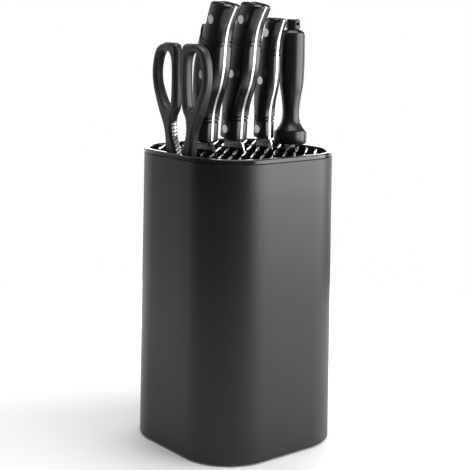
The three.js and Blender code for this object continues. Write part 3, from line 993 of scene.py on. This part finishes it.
def lip_skin(place, height):
    """A fine raised edge along one face of the finger hole."""
    hole = finger_hole_line()
    rings = []
    for i, point in enumerate(hole):
        along = (hole[(i + 1) % len(hole)] - hole[i - 1]).normalized()
        outwards = Vector((-along.y, along.x))
        spot = point + outwards * LIP_INSET
        rings.append([place(height + LIP * math.sin(a), *(spot + outwards * LIP * math.cos(a)))
                      for a in angles_round(8)])
    return join_rings(rings, closed=True)


for side, turn in halves:
    low, high = box_mm(f"scissors_handle_{side}")
    mesh = loop_mesh(f"finger_loop_{side}", high.x - low.x)
    place = on_scissors(turn)
    verts = [place(v.co.z / MM, v.co.x / MM, v.co.y / MM) for v in mesh.vertices]
    faces = [tuple(face.vertices) for face in mesh.polygons]
    face = (high.x - low.x) / 2 - LIP - 0.1
    loop = make_piece(f"finger_loop_{side}", [(verts, faces), lip_skin(place, face), lip_skin(place, -face)],
                      satin_grip, 40)
    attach(loop, f"scissors_{side}_half")
    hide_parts(f"scissors_handle_{side}")


# ---------- The table and backdrop ----------
# The block stands on a round pale table top in a plain pale studio. The table top is painted with a glow,
# though it is no lamp: faint round the block and growing towards its rim, so that its edge melts into the
# backdrop.

TABLE_RADIUS = 520
TABLE_GLOW = 0.54
MIDDLE_GLOW = 0.04 / TABLE_GLOW  # share of the glow that is left round the block


def table_top(place):
    mottle = place.noise(6, 3)
    distance = place.add("ShaderNodeVectorMath", {"operation": "LENGTH"}, {0: place}, "Value")
    # painted glow: the table's emission is faint round the block and full towards its rim
    rim_glow = distance.add("ShaderNodeMapRange", {}, {0: distance, 1: 0.2, 2: 0.45}, 0)
    return {"Base Color": mottle.between((0.7, 0.7, 0.695), (0.74, 0.74, 0.735)),
            "Roughness": 0.65 + 0.1 * (mottle - 0.5),
            "Emission Color": rim_glow.between((MIDDLE_GLOW,) * 3, (1, 1, 1)),
            "Emission Strength": TABLE_GLOW}


glowing_table = make_finish("glowing_table", table_top)
table = make_piece("table", [turned(Vector((0, 0, 0)), [
    (TABLE_RADIUS - 2, -30), (TABLE_RADIUS, -28), (TABLE_RADIUS, -2), (TABLE_RADIUS - 2, 0)], 128)],
    glowing_table)

world = bpy.data.worlds.new("studio")
bpy.context.scene.world = world
world.use_nodes = True
world.node_tree.nodes.clear()
studio = Shade(world.node_tree)
dim = studio.add("ShaderNodeBackground", {}, {"Color": (1, 1, 1, 1), "Strength": 0.1})
white = studio.add("ShaderNodeBackground", {}, {"Color": (1, 1, 1, 1), "Strength": 1.0})
seen = studio.add("ShaderNodeLightPath", output="Is Camera Ray")
studio.add("ShaderNodeOutputWorld", {}, {"Surface": studio.add(
    "ShaderNodeMixShader", {}, {0: seen, 1: dim, 2: white})})


# ---------- The lights ----------
# Soft panels: one stands low in front and to the right with a small one beside it, a weaker one
# stands to the left, one hangs overhead, and a long low one lights the tops from behind.

def panel(name, azimuth, distance, z, size, radiance, aim_z):
    """A soft rectangular light, in metres, turned to face the block; azimuth 0 is in front, 90 at +X."""
    a = math.radians(azimuth)
    lamp = bpy.data.lights.new(name, "AREA")
    lamp.shape = "RECTANGLE"
    lamp.size, lamp.size_y = size
    lamp.energy = radiance * math.pi * size[0] * size[1]
    light = bpy.data.objects.new(name, lamp)
    light.location = (math.sin(a) * distance, -math.cos(a) * distance, z)
    light.rotation_euler = (Vector((0, 0, aim_z)) - light.location).to_track_quat("-Z", "Y").to_euler()
    light.visible_camera = False
    bpy.context.scene.collection.objects.link(light)


panel("right_panel", azimuth=40, distance=0.62, z=0.34, size=(0.8, 0.56), radiance=6.3, aim_z=0.34)
panel("side_panel", azimuth=108, distance=0.75, z=0.22, size=(0.45, 0.4), radiance=1.5, aim_z=0.12)
panel("left_panel", azimuth=-164, distance=0.4, z=0.3, size=(0.36, 0.58), radiance=1.1, aim_z=0.3)
panel("top_panel", azimuth=0, distance=0.05, z=1.0, size=(0.7, 0.7), radiance=5.0, aim_z=0)
panel("back_panel", azimuth=141, distance=1.2, z=0.46, size=(1.7, 0.26), radiance=7.0, aim_z=0.22)


# ---------- The camera ----------
# A long lens, a little above the rim, seen from the front left corner.

AZIMUTH, ELEVATION, ROLL = (math.radians(v) for v in (-38.82, 11.22, 0.94))
DISTANCE = 894.67
FOCAL_LENGTH = 88.72
AIM_RIGHT, AIM_UP = -1.17, 44.81  # from the middle of the block
back = Vector((math.sin(AZIMUTH) * math.cos(ELEVATION), -math.cos(AZIMUTH) * math.cos(ELEVATION),
               math.sin(ELEVATION)))
right = (-back).cross(Vector((0, 0, 1))).normalized()
up = right.cross(-back)
aim = Vector((0, 0, BLOCK_TOP / 2)) + right * AIM_RIGHT + up * AIM_UP
right, up = right * math.cos(ROLL) + up * math.sin(ROLL), up * math.cos(ROLL) - right * math.sin(ROLL)
lens = bpy.data.cameras.new("camera")
lens.lens = FOCAL_LENGTH
camera = bpy.data.objects.new("camera", lens)
bpy.context.scene.collection.objects.link(camera)
facing = Matrix((right, up, back)).transposed().to_4x4()
camera.matrix_world = Matrix.Translation((aim + back * DISTANCE) * MM) @ facing
bpy.context.scene.camera = camera
bpy.context.scene.view_settings.view_transform = "Standard"
